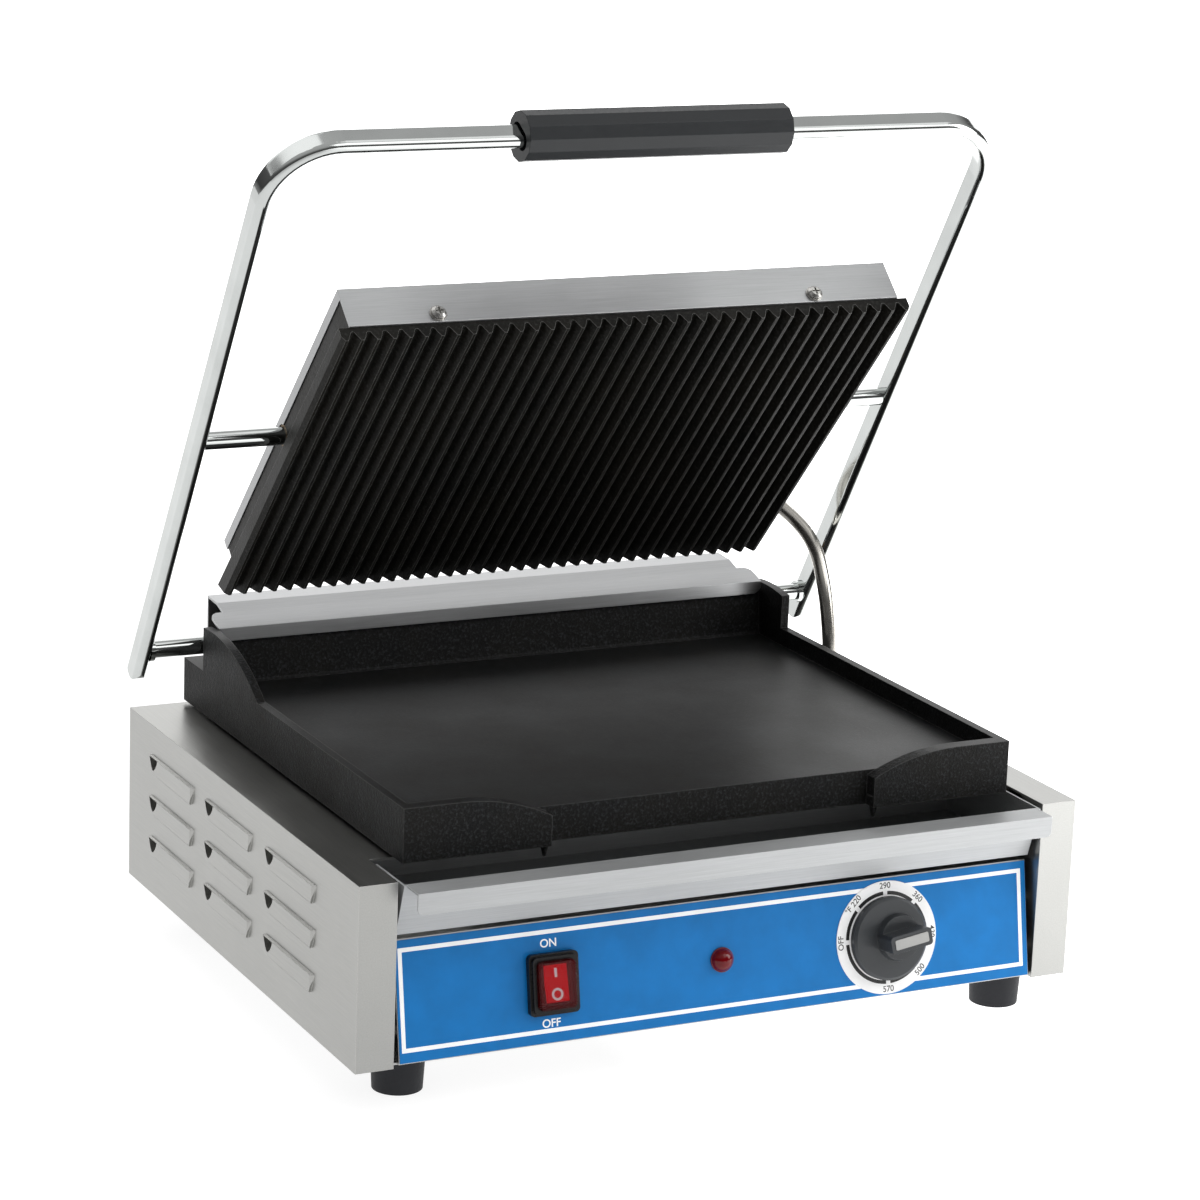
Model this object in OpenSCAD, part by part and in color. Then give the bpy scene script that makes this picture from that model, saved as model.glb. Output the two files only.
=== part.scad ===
// Countertop panini press: a stainless housing with a smooth cast-iron lower plate,
// a ribbed upper plate that hangs in a U-shaped handle, a drip tray and one control panel.
// Origin: middle of the footprint, on the surface the feet stand on. +X right, +Y back, +Z up.

/* [Housing] */
// Width across the side walls
body_w = 420; // [420:1:440]
// Depth from the front flanges to the rear panel
body_d = 334; // [334:1:344]
// Height of the housing without its feet
body_h = 99; // [99:1:104]
// Height of a rubber foot
foot_h = 26; // [20:1:35]
// Thickness of the stainless sheet
sheet = 1.2; // [1:0.1:1.3]
// Width of a front corner flange
flange_w = 21; // [20:0.5:23]

/* [Control panel] */
// Lean of the panel away from the vertical, in degrees
panel_lean = 10; // [9:0.5:11]
// Height of the panel along its slope
panel_h = 64; // [62:0.5:65]
// Rest angle of the dial's pointer above the horizontal, in degrees
pointer_angle = 8; // [-90:1:170]
// Tilt of the rocker either side of its middle, in degrees
rocker_tilt = 7; // [4:0.5:7]

/* [Lower plate] */
// Outer width of the lower casting
plate_w = 356; // [354:1:358]
// Height of the cooking surface above the housing's lower edge
surface_h = 120.1; // [119:0.1:121]
// Height of the side rims above the housing's lower edge
rim_h = 130; // [128:0.5:131]

/* [Lid] */
// Angle of the handle above the horizontal when the press stands open
lid_open = 59; // [50:1:60]
// Angle of the upper plate above the horizontal when the press stands open
platen_open = 47.5; // [40:0.5:48]
// Distance from the rear hinge to the upper plate's pivot
pivot_reach = 160; // [158:1:162]
// Distance from the rear hinge to the handle's cross bar
bar_reach = 363; // [355:1:375]
// Width of the ribbed casting
platen_w = 338; // [335:1:339]
// Spacing of the cooking ribs
rib_pitch = 9; // [8:0.1:11]
// Depth of the grooves between the ribs
rib_depth = 5.5; // [3:0.5:6]

/* [Handle] */
// Depth of the flat-oval handle bar
bar_depth = 15; // [14:0.5:16]
// Thickness of the flat-oval handle bar
bar_thick = 7.5; // [7:0.5:8]
// Radius of the handle's corner bends
bend_r = 36; // [30:1:45]
// Length of the grip sleeve
grip_len = 154; // [140:1:170]
// Width of the grip across its corners
grip_d = 27; // [25:0.5:30]
// Depth of the recess round the bar at each end of the grip
grip_recess = 6; // [2:1:12]

/* [Hidden] */
$fn = 48;

function behind(v) = v - body_d / 2;   // Y of a point v behind the front face
function above(v) = v + foot_h;        // Z of a point v above the housing's lower edge

eps = 1;                               // overshoot of a cutting solid
wall_in = body_w / 2 - sheet;          // inner face of a side wall
front_half = body_w / 2 - flange_w;    // half width of the front opening
panel_half = front_half - 2.7;
slot_y = 37.6;                         // rear edge of the deck's tray slot
return_y = 21;                         // rear edge of a front flange's return

// Louvres pressed into each side wall
louvre_rows = [28, 52, 76];
louvre_cols = [55, 143, 230];
louvre_rise = 1.6;
louvre_half = 5.8;
louvre_outline = [[0, 5.8], [1, 2.5], [4.2, -4.6], [6.4, -5.8], [54, -5.8], [61, -5.2], [65, -3.6],
    [68, 5.8]];
louvre_mouth = [[67, 5.2], [64, -0.4], [62.4, -1.9], [60.2, -1.8], [57.6, 0.2], [55.6, 2.8], [54.6, 5.2]];
louvre_slit = [[66, 4.4], [63.4, -0.3], [62.2, 0.4], [64.6, 4.6]];

// Feet
foot_r = 14.7;
foot_tip_r = 13.3;
foot_x = [40 - body_w / 2, body_w / 2 - 20];
foot_y = [38, body_d - 38];
foot_screw_r = 3;

// Control panel items, placed along the panel's own width and slope
row_y = 31.5;
switch_x = -100;
lamp_x = -1.5;
dial_x = 98;
panel_fixings = [[12, 16], [16.5, 42]];
overlay_t = 0.5;
dial_r = 30.5;
shaft_r = 3;
switch_w = 21;
switch_h = 25;
rocker_z = 1;
trunnion_r = 1.5;

// Drip tray
tray_half = front_half - 2.6;
tray_z = 68.3;
tray_top = 97.3;
tray_y = 92;
tray_t = 1;

// Lower plate and what hangs under it
plate_half = plate_w / 2;
plate_z = body_h + 2;
plate_y = [20, body_d - 1];
recess_y = 28;
notch_x = 95;
rear_block_z = 126;
rim_w = 5;
ear_r = 120;
ear_y = 290;
cavity_half = 150;
cavity_y = [115, 283];
cavity_z = plate_z + 7;
tube_r = 3.75;
stud_x = 160;
stud_y = [104, 308];
leg_x = 22;
bulb_y = 200;

// Hinge
hinge_y = 310;
hinge_z = 139;
axle_r = 5;
running = 0.05;
arm_x = body_w / 2 + 2;
bracket_x = 150;
bush_r = 7;

// Lid, in its closed position about the plate's pivot
platen_front = -115.8;
platen_back = 121;
platen_foot = 127;
tip_z = -22.8;
slab_front_z = -14.5;
slab_back_z = -11.4;
floor_z = -9;
pan_z = 2.8;
cover_half = 163;
pan_half = cover_half - 0.6;
pan_back = 113;
cover_z = 9.4;
lip_z = 3.5;
cover_back = pan_back + sheet;
boss_x = 147;
rod_end = 144;
screw_x = 112;
screw_z = -9.7;
conduit_r = 4.2;
conduit_exit = [195, 245];
conduit_entry = [138, 98];

module box(x, y, z) translate([x[0], y[0], z[0]]) cube([x[1] - x[0], y[1] - y[0], z[1] - z[0]]);

// The same box on the left and on the right
module box_pair(x, y, z) both_sides() box(x, y, z);
module both_sides() { children(); mirror([1, 0, 0]) children(); }

// A box whose Y counts from the front face and whose Z counts from the housing's lower edge
module body_box(x, y, z) box(x, [behind(y[0]), behind(y[1])], [above(z[0]), above(z[1])]);

module at_body(x, y, z) translate([x, behind(y), above(z)]) children();

// A (Y, Z) outline drawn along X from x0 to x1
module along_x(x0, x1) translate([x0, 0, 0]) rotate([90, 0, 90]) linear_extrude(x1 - x0) children();

module rounded(w, h, r) {
    square([w - 2 * r, h], center = true);
    square([w, h - 2 * r], center = true);
    for (x = [-1, 1], y = [-1, 1]) translate([x * (w / 2 - r), y * (h / 2 - r)]) circle(r);
}

// A straight rod between two points
module rod(a, b, r) {
    d = b - a;
    translate(a) rotate([0, acos(d[2] / norm(d)), atan2(d[1], d[0])]) cylinder(r = r, h = norm(d));
}

// A bent rod through a list of points, with ball corners
module bent_rod(points, r) {
    for (i = [1:len(points) - 1]) rod(points[i - 1], points[i], r);
    for (i = [1:len(points) - 2]) translate(points[i]) sphere(r, $fn = min($fn, 32));
}

// A pan-head screw pointing down from its seat, with a cross recess
module pan_screw(r, head_r, head_h, len) {
    difference() {
        union() {
            cylinder(r = head_r, h = head_h * 0.5);
            translate([0, 0, head_h * 0.5]) cylinder(r1 = head_r, r2 = head_r * 0.62, h = head_h * 0.5);
            translate([0, 0, -len]) cylinder(r = r, h = len);
        }
        for (a = [0, 90]) rotate([0, 0, a]) translate([0, 0, head_h])
            cube([head_r * 1.1, head_r * 0.22, head_h], center = true);
    }
}

// The panel's own frame: X along it, Y up its slope, Z out of its face
module on_panel() at_body(0, -0.7, 2) rotate([90 - panel_lean, 0, 0]) children();
module at_panel(x) on_panel() translate([x, row_y, 0]) children();

// The handle's frame about the rear hinge, drawn closed with its arms level
module on_handle() at_body(0, hinge_y, hinge_z) rotate([-lid_open, 0, 0]) children();

// The upper plate's frame about its pivot, drawn closed and level
pivot_y = hinge_y - pivot_reach * cos(lid_open);
pivot_z = hinge_z + pivot_reach * sin(lid_open);
module on_platen() at_body(0, pivot_y, pivot_z) rotate([-platen_open, 0, 0]) children();

// ---- Housing ----------------------------------------------------------------------------

module each_louvre() for (y = louvre_cols, z = louvre_rows) at_body(body_w / 2, y, z) children();

// A flat hood with sloping edges, whose front end is the steeper one
module louvre_hood() intersection() {
    along_x(-0.5, louvre_rise) polygon(louvre_outline);
    rotate([-90, 0, 0]) linear_extrude(70) polygon([[-1, -louvre_half], [0, -louvre_half],
        [louvre_rise, 0.6 - louvre_half], [louvre_rise, louvre_half - 1.8], [0, louvre_half],
        [-1, louvre_half]]);
    translate([0, 0, -10]) linear_extrude(20)
        polygon([[-1, 0], [0, 0], [louvre_rise, 2.6], [louvre_rise, 70], [-1, 70]]);
}

module housing() color("silver") difference() {
    union() {
        difference() {
            body_box([-body_w / 2, body_w / 2], [0, body_d], [0, body_h]);
            body_box([-wall_in, wall_in], [sheet, body_d + eps], [-eps, body_h - sheet]);
            body_box([-front_half, front_half], [-eps, sheet + eps], [-eps, body_h - sheet]);
            body_box([-front_half, front_half], [-eps, slot_y], [body_h - sheet - eps, body_h + eps]);
            body_box([-cavity_half - 4, cavity_half + 4], [112, 294], [body_h - sheet - eps, body_h + eps]);
        }
        both_sides() body_box([front_half, front_half + sheet], [0.5, return_y], [0, body_h - 0.5]);
        both_sides() each_louvre() {
            louvre_hood();
            box([-3.2, -0.5], [53, 69], [-4, 7.2]);
        }
    }
    both_sides() each_louvre() {
        box([-2, 0.6], [8, 52], [-3.2, 3.2]);
        along_x(-2, louvre_rise + 1) polygon(louvre_mouth);
        along_x(-4, 0) polygon(louvre_slit);
    }
    for (x = [-stud_x, stud_x], y = stud_y) at_body(x, y, body_h - 5) cylinder(r = 3.2, h = 10);
    at_body(conduit_exit[0], conduit_exit[1], body_h - 5) cylinder(r = 5.2, h = 10);
    both_sides() for (p = panel_fixings) at_body(front_half - eps, p[0], p[1]) rotate([0, 90, 0])
        cylinder(r = 2, h = 4);
}

module bottom_cover() color("gainsboro") difference() {
    union() {
        body_box([0.5 - front_half, front_half - 0.5], [5, 30], [0, sheet]);
        body_box([-wall_in + 0.1, wall_in - 0.1], [return_y + 0.5, body_d - sheet - 0.1], [0, sheet]);
        both_sides() body_box([wall_in - sheet - 0.1, wall_in - 0.1], [return_y + 1, body_d - 4], [0, 12]);
    }
    for (x = foot_x, y = foot_y) at_body(x, y, -eps) cylinder(r = foot_screw_r, h = 4);
    for (x = [-90:20:90], y = [120, 180, 240]) body_box([x - 2.5, x + 2.5], [y - 18, y + 18], [-eps, 3]);
}

module rear_panel() color("silver") difference() {
    body_box([-wall_in + 0.1, wall_in - 0.1], [body_d - sheet, body_d], [0, body_h - sheet - 0.1]);
    at_body(120, body_d + eps, 30) rotate([90, 0, 0]) cylinder(r = 8, h = 6);
    at_body(75, body_d + eps, 30) rotate([90, 0, 0]) cylinder(r = 3, h = 6);
    for (x = [-150:14:-10], z = [62]) body_box([x - 2, x + 2], [body_d - 3, body_d + eps], [z - 15, z + 15]);
    for (x = [-196, 196], z = [18, 80]) at_body(x, body_d + eps, z) rotate([90, 0, 0]) cylinder(r = 2, h = 6);
}

module rear_screws() color("darkgray") for (x = [-196, 196], z = [18, 80])
    at_body(x, body_d, z) rotate([-90, 0, 0]) pan_screw(2, 3.8, 2.2, 8);

module panel_screws() color("darkgray") both_sides() for (p = panel_fixings)
    at_body(panel_half, p[0], p[1]) rotate([0, 90, 0]) {
        cylinder(r = 3.6, h = front_half - panel_half);
        translate([0, 0, -3]) cylinder(r = 2, h = front_half - panel_half + sheet + 3);
        translate([0, 0, front_half - panel_half + sheet]) cylinder(r = 3.8, h = 2.4);
    }

module control_panel() color("silver") difference() {
    on_panel() difference() {
        union() {
            box([-panel_half, panel_half], [0, panel_h], [-sheet, 0]);
            box([-panel_half, panel_half], [panel_h - sheet, panel_h], [-14, 0]);
            box([-panel_half, panel_half], [0, sheet], [-4.5, 0]);
            both_sides() box([panel_half - sheet, panel_half], [3, panel_h], [-14, 0]);
        }
        translate([switch_x, row_y, -5]) linear_extrude(10)
            square([switch_w, switch_h], center = true);
        translate([lamp_x, row_y, -5]) cylinder(r = 4.8, h = 10);
        translate([dial_x, row_y, -5]) cylinder(r = 5, h = 10);
        for (s = [-14, 14]) translate([dial_x + s, row_y, -5]) cylinder(r = 2, h = 10);
    }
    both_sides() for (p = panel_fixings) at_body(panel_half - 3, p[0], p[1]) rotate([0, 90, 0])
        cylinder(r = 2, h = 6);
}

module panel_overlay() color("royalblue") on_panel() difference() {
    box([-panel_half + 0.4, panel_half - 0.4], [0.5, panel_h - 0.7], [0, overlay_t]);
    translate([switch_x, row_y, -1]) linear_extrude(3) square([switch_w, switch_h], center = true);
    translate([lamp_x, row_y, -1]) cylinder(r = 4.8, h = 3);
    translate([dial_x, row_y, -1]) cylinder(r = 5, h = 3);
}

module dial_plate() color("white") at_panel(dial_x) translate([0, 0, overlay_t]) difference() {
    cylinder(r = dial_r, h = 0.6, $fn = 96);
    translate([0, 0, -1]) cylinder(r = 5, h = 3);
}

// ---- Feet -------------------------------------------------------------------------------

module foot(x, y) color("dimgray") at_body(x, y, -foot_h) difference() {
    cylinder(r1 = foot_tip_r, r2 = foot_r, h = foot_h);
    translate([0, 0, -eps]) cylinder(r = 6.5, h = 13 + eps);
    cylinder(r = foot_screw_r, h = foot_h + eps);
}
module foot_front_left() foot(foot_x[0], foot_y[0]);
module foot_front_right() foot(foot_x[1], foot_y[0]);
module foot_rear_left() foot(foot_x[0], foot_y[1]);
module foot_rear_right() foot(foot_x[1], foot_y[1]);

module foot_screws() color("darkgray") for (x = foot_x, y = foot_y)
    at_body(x, y, 13 - foot_h) rotate([180, 0, 0]) pan_screw(foot_screw_r, 5.4, 4, foot_h - 13 + sheet + 8);

module foot_nuts() color("darkgray") for (x = foot_x, y = foot_y) at_body(x, y, sheet)
    difference() {
        cylinder(r = 5.8, h = 5, $fn = 6);
        translate([0, 0, -eps]) cylinder(r = foot_screw_r, h = 7);
    }

// ---- Drip tray --------------------------------------------------------------------------

module tray_profile(t) polygon([
    [behind(7.8 + t), above(tray_z + t)], [behind(tray_y - t), above(tray_z + t)],
    [behind(tray_y - t), above(95.5 + 4 * t)], [behind(slot_y - 2), above(95.5 + 4 * t)],
    [behind(slot_y - 3), above(tray_top + 4 * t)], [behind(-2 + t), above(tray_top + 4 * t)]]);

module drip_tray() color("silver") {
    difference() {
        along_x(-tray_half, tray_half) tray_profile(0);
        along_x(-tray_half + tray_t, tray_half - tray_t) tray_profile(tray_t);
    }
    body_box([-tray_half + 1.4, tray_half - 1.4], [-16, -1], [tray_top - tray_t, tray_top]);
    at_body(0, -15, 0) rotate([90, 0, 0]) linear_extrude(tray_t) {
        translate([0, tray_top - 4]) square([2 * tray_half - 2.8, 8 - 0.001], center = true);
        translate([0, 89.65]) rounded(2 * tray_half - 2.8, 7.3, 3.2);
    }
}

module tray_rails() color("gainsboro") both_sides() {
    body_box([174, wall_in], [return_y + 1, 98], [66.8, 68]);
    body_box([tray_half + 0.7, tray_half + 1.9], [return_y + 1, 98], [66.8, 75]);
    body_box([wall_in - sheet, wall_in], [return_y + 1, 98], [50, 68]);
}

// ---- Lower plate ------------------------------------------------------------------------

// A front corner wall, whose top curves down to the drain gap in the middle
module front_corner() intersection() {
    body_box([notch_x, plate_half], [plate_y[0], recess_y], [plate_z, rim_h]);
    union() {
        body_box([146, plate_half], [0, 40], [plate_z, rim_h]);
        at_body(146, 0, rim_h - 110) rotate([-90, 0, 0]) cylinder(r = 110, h = 40, $fn = 96);
    }
}

module ear(front) intersection() {
    at_body(-plate_half, ear_y, 151.8 - ear_r) rotate([0, 90, 0])
        cylinder(r = ear_r, h = rim_w, $fn = 120);
    body_box([-plate_half - 1, -plate_half + 9], [front, 303], [rear_block_z - 5, 160]);
}

module rear_wall() along_x(-plate_half + 1, plate_half - 1) polygon([
    [behind(290), above(118)], [behind(293), above(121.5)], [behind(295.6), above(146.7)],
    [behind(299.5), above(146.7)], [behind(300), above(118)]]);

module lower_plate() color("dimgray") difference() {
    union() {
        body_box([-plate_half, plate_half], [recess_y, plate_y[1]], [plate_z, surface_h]);
        both_sides() body_box([plate_half - rim_w, plate_half], [recess_y - 1, 300], [plate_z, rim_h]);
        both_sides() front_corner();
        body_box([-plate_half, plate_half], [285, plate_y[1]], [plate_z, 118.5]);
        body_box([-plate_half, plate_half], [299, plate_y[1]], [plate_z, rear_block_z]);
        rear_wall();
        ear(215);
        mirror([1, 0, 0]) ear(267);
        both_sides() at_body(notch_x + 2.2, plate_y[0] + 4, plate_z - 6) cylinder(r1 = 0.9, r2 = 3.6, h = 12);
    }
    body_box([-cavity_half, cavity_half], cavity_y, [plate_z - eps, cavity_z]);
    for (x = [-stud_x, stud_x], y = stud_y) at_body(x, y, plate_z - eps) cylinder(r = 3, h = 8);
    for (s = [-1, 1]) at_body(s * bracket_x, 326, 108) cylinder(r = 2.5, h = 30);
}

module plate_studs() color("darkgray") for (x = [-stud_x, stud_x], y = stud_y) at_body(x, y, 0) {
    translate([0, 0, 84]) cylinder(r = 3, h = plate_z + 7 - 84);
    translate([0, 0, body_h - sheet - 6]) cylinder(r = 5.5, h = 5, $fn = 6);
    translate([0, 0, body_h - sheet - 1]) cylinder(r = 7, h = 1);
}

module plate_spacers() color("darkgray") for (x = [-stud_x, stud_x], y = stud_y) at_body(x, y, body_h)
    difference() {
        cylinder(r = 8, h = plate_z - body_h);
        translate([0, 0, -eps]) cylinder(r = 3, h = 5);
    }

// A sheathed heating tube laid in loops, from one cold end round to the other
module heating_loops(half, y0, y1, z) for (s = [-1, 1]) {
    y2 = y1 - 14;
    bent_rod([for (p = [[leg_x, y2], [leg_x, y0], [48, y0], [48, y2], [90, y2], [90, y0],
        [half, y0], [half, y1], [-0.5, y1]]) [s * p[0], p[1], z]], tube_r);
}

module lower_element() color("darkgray") {
    heating_loops(138, behind(128), behind(272), above(plate_z + 3.1));
    for (s = [-1, 1]) {
        at_body(s * leg_x, 258, plate_z + 3.1) sphere(tube_r, $fn = 32);
        at_body(s * leg_x, 258, 52) cylinder(r = tube_r, h = plate_z + 3.1 - 52);
    }
}

module lower_clamp() color("silver") difference() {
    body_box([-cavity_half + 5, cavity_half - 5], [120, 280], [plate_z - 2, plate_z - 0.8]);
    for (s = [-1, 1]) at_body(s * leg_x, 258, plate_z - 5) cylinder(r = 5, h = 8);
    at_body(0, bulb_y, plate_z - 5) cylinder(r = 3, h = 8);
}

module lower_insulation() color("white") difference() {
    body_box([-cavity_half + 6, cavity_half - 6], [119, 281], [80, plate_z - 2]);
    for (s = [-1, 1]) at_body(s * leg_x, 258, 75) cylinder(r = 5, h = 30);
    at_body(0, bulb_y, 75) cylinder(r = 3, h = 30);
}

module lower_pan() color("gainsboro") difference() {
    union() {
        body_box([-cavity_half - 14, cavity_half + 14], [112, 294], [body_h - 2 * sheet, body_h - sheet]);
        body_box([-cavity_half + 4, cavity_half - 4], [117, 283], [78.8, body_h - sheet]);
    }
    body_box([-cavity_half + 6, cavity_half - 6], [119, 281], [80, body_h + 5]);
    for (s = [-1, 1]) at_body(s * leg_x, 258, 70) cylinder(r = 5, h = 20);
    at_body(0, bulb_y, 70) cylinder(r = 3, h = 20);
}

// ---- Controls and wiring ----------------------------------------------------------------

module thermostat_body() color("tan") at_panel(dial_x) difference() {
    union() {
        translate([0, 0, -22]) linear_extrude(22 - sheet) rounded(44, 38, 3);
        translate([0, 0, -32]) cylinder(r = 14, h = 11);
        for (x = [-14, 14], y = [-8, 8]) translate([x, y, -28]) cube([6, 0.8, 14], center = true);
    }
    translate([0, 0, -12]) cylinder(r = shaft_r + running, h = 20);
}

module thermostat_shaft() color("darkgray") at_panel(dial_x) translate([0, 0, -11])
    cylinder(r = shaft_r, h = 24);

// The sensing bulb under the lower plate and its fine tube down to the thermostat
module thermostat_bulb() color("peru") {
    at_body(0, bulb_y - 56, plate_z + 3.2) rotate([-90, 0, 0]) cylinder(r = 3, h = 50);
    lead([[0, bulb_y - 6, plate_z + 3.2], [0, bulb_y, plate_z + 3.2], [0, bulb_y, 58],
        [dial_x, 110, 44], [dial_x, 36.8, 27.6]], 1);
}

module knob() color("dimgray") at_panel(dial_x) rotate([0, 0, pointer_angle]) difference() {
    union() {
        translate([0, 0, 2]) cylinder(r = 22.5, h = 3.4, $fn = 96);
        translate([0, 0, 5.4]) cylinder(r1 = 22.5, r2 = 21, h = 1, $fn = 96);
        translate([4, 0, 6.4]) cylinder(r1 = 13, r2 = 12, h = 3.4, $fn = 72);
        translate([4, 0, 6]) linear_extrude(15) rounded(25, 9.4, 2);
    }
    translate([0, 0, 1]) cylinder(r = shaft_r, h = 12);
    translate([4, 0, 20.6]) linear_extrude(2) rounded(20.5, 5.4, 0.8);
}

module knob_insert() color("silver") at_panel(dial_x) rotate([0, 0, pointer_angle]) translate([4, 0, 20.6])
    linear_extrude(0.7) rounded(20.5, 5.4, 0.8);

module switch_body() color("black") at_panel(switch_x) difference() {
    union() {
        translate([0, 0, overlay_t]) linear_extrude(3.5) rounded(28, 32, 2.5);
        translate([0, 0, 4]) linear_extrude(2) difference() {
            rounded(25.4, 29.4, 2.5);
            rounded(21.6, 25.6, 3);
        }
        translate([0, 0, -22]) linear_extrude(23) square([switch_w, switch_h], center = true);
    }
    translate([0, 0, -2]) linear_extrude(9) square([switch_w - 2, switch_h - 2], center = true);
    translate([-11, 0, rocker_z]) rotate([0, 90, 0]) cylinder(r = trunnion_r + running, h = 22);
}

module switch_terminals() color("gold") at_panel(switch_x)
    for (x = [-5, 5], y = [-7, 7]) translate([x, y, -26]) cube([0.8, 6.3, 8], center = true);

// Clear splash cover over the rocker
module switch_boot() color("firebrick", 0.5) at_panel(switch_x) translate([0, 0, 4]) difference() {
    union() {
        linear_extrude(4.4) rounded(21.5, 25.5, 3);
        translate([0, 0, 4.3]) linear_extrude(0.8) rounded(20.3, 24.3, 2.6);
    }
    translate([0, 0, -eps]) linear_extrude(5.3) rounded(19.2, 23.2, 1);
}

module rocker() color("red") at_panel(switch_x) translate([0, 0, rocker_z]) rotate([-rocker_tilt, 0, 0]) {
    along_x(-9.2, 9.2) polygon([[-10.6, -1], [10.6, -1], [10.6, 5.4], [0, 4.2], [-10.6, 5.4]]);
    translate([-10.4, 0, 0]) rotate([0, 90, 0]) cylinder(r = trunnion_r, h = 20.8);
}

module lamp_body() color("ivory") at_panel(lamp_x) {
    translate([0, 0, -20]) cylinder(r = 4.8, h = 20 + overlay_t);
    for (x = [-2.5, 2.5]) translate([x, 0, -23]) cube([0.8, 3, 8], center = true);
}

module lamp_lens() color("red") at_panel(lamp_x) translate([0, 0, overlay_t]) {
    cylinder(r = 6.6, h = 1);
    intersection() {
        translate([0, 0, -0.6]) sphere(6.4, $fn = 64);
        cylinder(r = 8, h = 10);
    }
}

module terminal_block() color("ivory") difference() {
    union() {
        body_box([84, 156], [278, 298], [sheet, 5]);
        for (x = [90:15:135]) body_box([x, x + 13], [280, 296], [5, 22]);
    }
    for (x = [96.5:15:141.5]) {
        at_body(x, 288, 14) cylinder(r = 3, h = 10);
        at_body(x, 279, 11) rotate([-90, 0, 0]) cylinder(r = 2.2, h = 20);
    }
}

// The internal leads, laid along the bottom cover to the terminal block
module lead(points, r) bent_rod([for (p = points) [p[0], behind(p[1]), above(p[2])]], r, $fn = 10);
module wiring_loom() color("firebrick") {
    lead([[switch_x + 5, 36.8, 34.6], [-88, 62, 8], [30, 90, 6], [96.5, 262, 6], [96.5, 272, 11],
        [96.5, 281, 11]], 1.6);
    lead([[switch_x - 5, 36.8, 34.6], [-96, 66, 8], [24, 98, 6], [92, 258, 6], [111.5, 270, 11],
        [111.5, 281, 11]], 1.6);
    lead([[lamp_x + 2.5, 32.6, 28], [12, 60, 8], [30, 90, 6]], 1.2);
    lead([[dial_x - 14, 39.4, 19], [80, 70, 8], [104, 240, 7], [126.5, 266, 11], [126.5, 281, 11]], 1.6);
    lead([[leg_x, 258, 51.8], [leg_x, 258, 44], [60, 256, 12], [100, 250, 7], [141.5, 268, 11],
        [141.5, 281, 11]], 1.4);
    lead([[-leg_x, 258, 51.8], [-leg_x, 258, 44], [0, 240, 8], [60, 222, 7], [92, 258, 6]], 1.4);
    lead([[75, 319.6, 30], [75, 312, 26], [104, 308, 11], [141.5, 304, 11], [141.5, 295.5, 11]], 1.4);
}

module cable_gland() color("dimgray") at_body(120, body_d, 30) rotate([-90, 0, 0]) difference() {
    union() {
        translate([0, 0, -12]) cylinder(r = 8, h = 20);
        cylinder(r = 12.5, h = 5, $fn = 6);
        translate([0, 0, -sheet - 4]) cylinder(r = 12, h = 4, $fn = 6);
    }
    translate([0, 0, -13]) cylinder(r = 4.5, h = 22);
}

module gland_nut() color("dimgray") at_body(120, body_d + 5, 30) rotate([-90, 0, 0]) difference() {
    union() {
        cylinder(r = 11.5, h = 7, $fn = 6);
        translate([0, 0, 7]) cylinder(r1 = 10.5, r2 = 7, h = 5);
    }
    translate([0, 0, -eps]) cylinder(r = 8, h = 4);
    translate([0, 0, -eps]) cylinder(r = 4.5, h = 15);
}

module earth_stud() color("gold") at_body(75, body_d, 30) rotate([-90, 0, 0]) {
    translate([0, 0, -14]) cylinder(r = 3, h = 24);
    cylinder(r = 5.8, h = 4, $fn = 6);
    translate([0, 0, -sheet - 4]) cylinder(r = 5.8, h = 4, $fn = 6);
}

// ---- Hinge ------------------------------------------------------------------------------

module hinge_bracket(x) color("dimgray") difference() {
    union() {
        body_box([x - 7, x + 7], [300.5, body_d - 1 - sheet], [rear_block_z, 132]);
        body_box([x - 7, x + 7], [300.5, 320], [131, 150]);
    }
    at_body(x - 8, hinge_y, hinge_z) rotate([0, 90, 0]) cylinder(r = bush_r, h = 16);
    at_body(x, 326, 120) cylinder(r = 2.5, h = 20);
}
module hinge_bracket_left() hinge_bracket(-bracket_x);
module hinge_bracket_right() hinge_bracket(bracket_x);

module hinge_bushes() color("goldenrod") both_sides() at_body(bracket_x - 8, hinge_y, hinge_z)
    rotate([0, 90, 0]) difference() {
        union() {
            cylinder(r = bush_r, h = 15);
            translate([0, 0, 15]) cylinder(r = bush_r + 1.5, h = 1.5);
        }
        translate([0, 0, -eps]) cylinder(r = axle_r + running, h = 20);
    }

module bracket_screws() color("darkgray") for (s = [-1, 1]) at_body(s * bracket_x, 326, 132)
    pan_screw(2.5, 4.4, 3, 22);

// The folded hinge cover: a lip at the front, a slope, and a flange down the back
cover_outer = [[292.6, 145], [292.6, 152.6], [308.6, 157.4], [318, 160.4], [333, 161.2], [333, rear_block_z]];
cover_inner = [[331.8, rear_block_z], [331.8, 159.9], [318.3, 159.2], [309, 156.2], [293.8, 151.7],
    [293.8, 145]];
cover_step = 308.6;
cover_round = 5.5;
cover_wide = plate_half - rim_w - 0.4;
cover_narrow = 164.3;

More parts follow.
